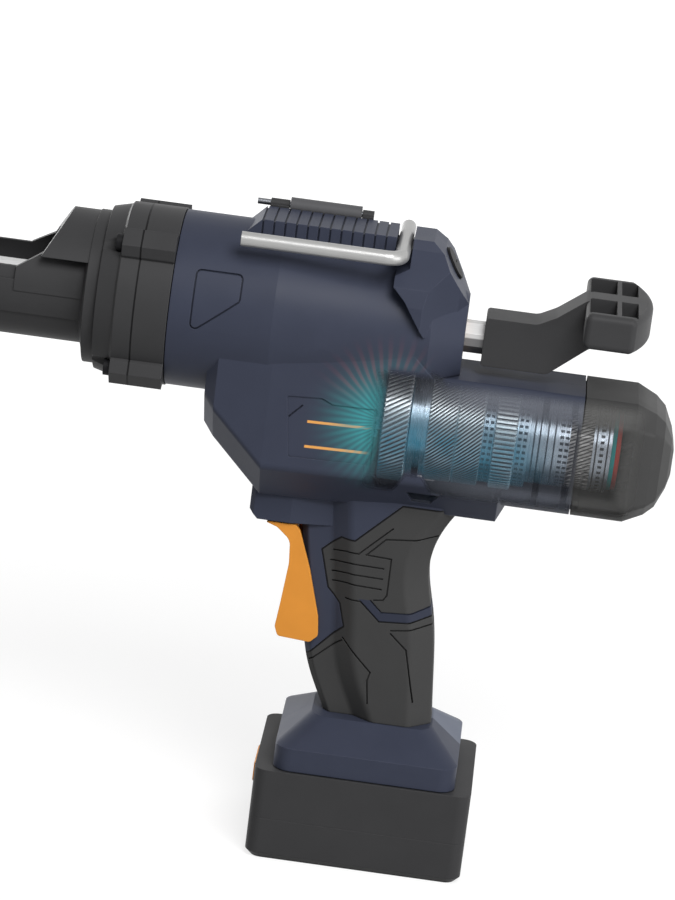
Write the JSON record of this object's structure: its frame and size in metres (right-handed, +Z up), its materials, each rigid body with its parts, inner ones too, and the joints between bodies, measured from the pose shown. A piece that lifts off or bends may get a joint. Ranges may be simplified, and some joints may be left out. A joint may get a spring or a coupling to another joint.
{
  "type": "cordless caulking tool",
  "caption": "Cordless caulking tool: open cartridge cradle on a swivel collar, toothed push rod with pull handle, geared motor housing, trigger grip, hang hook and slide-on battery.",
  "frame": {"origin": "centre of the battery's flat underside", "axes": "+Z up, nose and cartridge cradle toward -X, pull handle toward +X, tool's left side toward -Y"},
  "size_m": [0.501, 0.0806, 0.2984],
  "materials": {
    "navy_plastic": "satin",
    "dark_plastic": "satin",
    "soft_grip": "matte",
    "steel": "polished",
    "dark_steel": "satin",
    "orange_plastic": "satin",
    "black_plastic": "matte",
    "bronze": "satin",
    "board": "satin",
    "brush_set": "satin",
    "cell_wrap": "gloss"
  },
  "bodies": {
    "tool": {"housing_left": "navy_plastic", "housing_right": "navy_plastic", "grip_overmould_left": "soft_grip", "grip_overmould_right": "soft_grip", "swivel_flange": "steel", "rod_bushes": "bronze", "lever_bracket": "dark_plastic", "hinge_pins": "steel", "dial_potentiometer": "black_plastic", "trigger_switch": "black_plastic", "control_board": "board", "shaft_bushes": "bronze", "ring_gear_1": "steel", "ring_gear_2": "steel", "bearing_carrier": "steel", "gearbox_plate": "steel", "gearbox_spacers": "steel", "drive_bearings": "steel", "motor_bells": "steel", "stator_stack": "steel", "brush_rings": "brush_set", "motor_end_cap": "dark_plastic", "housing_screws": "dark_steel"},
    "rod": {"push_rod": "steel", "plunger_disc": "dark_steel", "plunger_screw": "dark_steel", "pull_handle": "dark_plastic", "handle_pin": "steel"},
    "cradle": {"collar_ring": "dark_plastic", "cartridge_cradle": "dark_plastic", "collar_screws": "dark_steel"},
    "hook": {"hang_hook": "steel"},
    "lever": {"release_lever": "dark_plastic"},
    "dial": {"speed_dial": "black_plastic"},
    "trigger_paddle": {"trigger": "orange_plastic"},
    "plunger": {"switch_plunger": "black_plastic"},
    "pinion": {"rack_pinion": "steel", "pinion_wheel": "steel", "pinion_shaft": "steel"},
    "layshaft": {"lay_gear": "steel", "lay_shaft": "steel"},
    "crown": {"bevel_gear": "steel"},
    "output": {"carrier_2": "steel", "bevel_pinion": "steel", "clutch_drum": "steel"},
    "stage": {"carrier_1": "steel"},
    "rotor": {"motor_shaft": "steel", "rotor_core": "steel", "cooling_fan": "black_plastic"},
    "battery": {"battery_top": "dark_plastic", "battery_tray": "dark_plastic", "battery_cells": "cell_wrap"},
    "button": {"battery_button": "orange_plastic"},
    "planet_a1": {"planet_1_1": "steel"},
    "planet_b1": {"planet_2_1": "steel"},
    "planet_a2": {"planet_1_2": "steel"},
    "planet_b2": {"planet_2_2": "steel"},
    "planet_a3": {"planet_1_3": "steel"},
    "planet_b3": {"planet_2_3": "steel"}
  },
  "joints": [
    {"name": "rod_slide", "type": "slide", "parent": "tool", "child": "rod", "axis": [1, 0, 0], "range_m": [0, 0.222]},
    {"name": "pinion_spin", "type": "hinge", "parent": "tool", "child": "pinion", "pos_m": [-0.04292, 0, 0.2355], "axis": [0, 1, 0], "range_deg": [-10, 1430]},
    {"name": "layshaft_spin", "type": "hinge", "parent": "tool", "child": "layshaft", "pos_m": [-0.026, 0, 0.2063], "axis": [0, 1, 0], "range_deg": [-2850, 20]},
    {"name": "rotor_spin", "type": "hinge", "parent": "tool", "child": "rotor", "pos_m": [0.078, 0, 0.2063], "axis": [1, 0, 0], "continuous": true},
    {"name": "stage_spin", "type": "hinge", "parent": "tool", "child": "stage", "pos_m": [0.035, 0, 0.2063], "axis": [1, 0, 0], "continuous": true},
    {"name": "output_spin", "type": "hinge", "parent": "tool", "child": "output", "pos_m": [0.013, 0, 0.2063], "axis": [1, 0, 0], "continuous": true},
    {"name": "crown_spin", "type": "hinge", "parent": "tool", "child": "crown", "pos_m": [-0.026, 0.02, 0.2063], "axis": [0, 1, 0], "continuous": true},
    {"name": "planet_a1_spin", "type": "hinge", "parent": "stage", "child": "planet_a1", "pos_m": [0.043, 0.01125, 0.2063], "axis": [1, 0, 0], "continuous": true},
    {"name": "planet_b1_spin", "type": "hinge", "parent": "output", "child": "planet_b1", "pos_m": [0.027, 0.01125, 0.2063], "axis": [1, 0, 0], "continuous": true},
    {"name": "planet_a2_spin", "type": "hinge", "parent": "stage", "child": "planet_a2", "pos_m": [0.043, -0.00562, 0.21604], "axis": [1, 0, 0], "continuous": true},
    {"name": "planet_b2_spin", "type": "hinge", "parent": "output", "child": "planet_b2", "pos_m": [0.027, -0.00562, 0.21604], "axis": [1, 0, 0], "continuous": true},
    {"name": "planet_a3_spin", "type": "hinge", "parent": "stage", "child": "planet_a3", "pos_m": [0.043, -0.00562, 0.19656], "axis": [1, 0, 0], "continuous": true},
    {"name": "planet_b3_spin", "type": "hinge", "parent": "output", "child": "planet_b3", "pos_m": [0.027, -0.00562, 0.19656], "axis": [1, 0, 0], "continuous": true},
    {"name": "trigger_pull", "type": "hinge", "parent": "tool", "child": "trigger_paddle", "pos_m": [-0.049, 0, 0.162], "axis": [0, -1, 0], "range_deg": [0, 7], "stiffness_Nm_per_rad": 1, "springref_deg": -5.73},
    {"name": "plunger_slide", "type": "slide", "parent": "tool", "child": "plunger", "axis": [1, 0, 0], "range_m": [0, 0.0036]},
    {"name": "hook_swing", "type": "hinge", "parent": "tool", "child": "hook", "pos_m": [-0.013, 0, 0.2891], "axis": [0, 1, 0], "range_deg": [0, 100]},
    {"name": "lever_lift", "type": "hinge", "parent": "tool", "child": "lever", "pos_m": [-0.051, 0.0178, 0.2948], "axis": [1, 0, 0], "range_deg": [0, 60], "stiffness_Nm_per_rad": 0.05, "springref_deg": -11.46},
    {"name": "dial_turn", "type": "hinge", "parent": "tool", "child": "dial", "pos_m": [0.00977, 0, 0.28238], "axis": [0.8575, 0, 0.5145], "range_deg": [0, 270]},
    {"name": "cradle_turn", "type": "hinge", "parent": "tool", "child": "cradle", "pos_m": [-0.127, 0, 0.25], "axis": [1, 0, 0], "continuous": true},
    {"name": "battery_slide", "type": "slide", "parent": "tool", "child": "battery", "axis": [-1, 0, 0], "range_m": [0, 0.09]},
    {"name": "button_press", "type": "slide", "parent": "battery", "child": "button", "axis": [1, 0, 0], "range_m": [0, 0.003], "stiffness_N_per_m": 1000, "springref_m": -0.002}
  ],
  "couplings": [
    {"joint": "pinion_spin", "follows": "rod_slide", "rad_per_m": 111.11},
    {"joint": "layshaft_spin", "follows": "rod_slide", "rad_per_m": -222.22},
    {"joint": "stage_spin", "follows": "rotor_spin", "ratio": 0.2},
    {"joint": "output_spin", "follows": "rotor_spin", "ratio": 0.04},
    {"joint": "crown_spin", "follows": "rotor_spin", "ratio": -0.04},
    {"joint": "planet_a1_spin", "follows": "rotor_spin", "ratio": -0.53333},
    {"joint": "planet_b1_spin", "follows": "rotor_spin", "ratio": -0.10667},
    {"joint": "planet_a2_spin", "follows": "rotor_spin", "ratio": -0.53333},
    {"joint": "planet_b2_spin", "follows": "rotor_spin", "ratio": -0.10667},
    {"joint": "planet_a3_spin", "follows": "rotor_spin", "ratio": -0.53333},
    {"joint": "planet_b3_spin", "follows": "rotor_spin", "ratio": -0.10667},
    {"joint": "plunger_slide", "follows": "trigger_pull", "m_per_rad": 0.028}
  ]
}
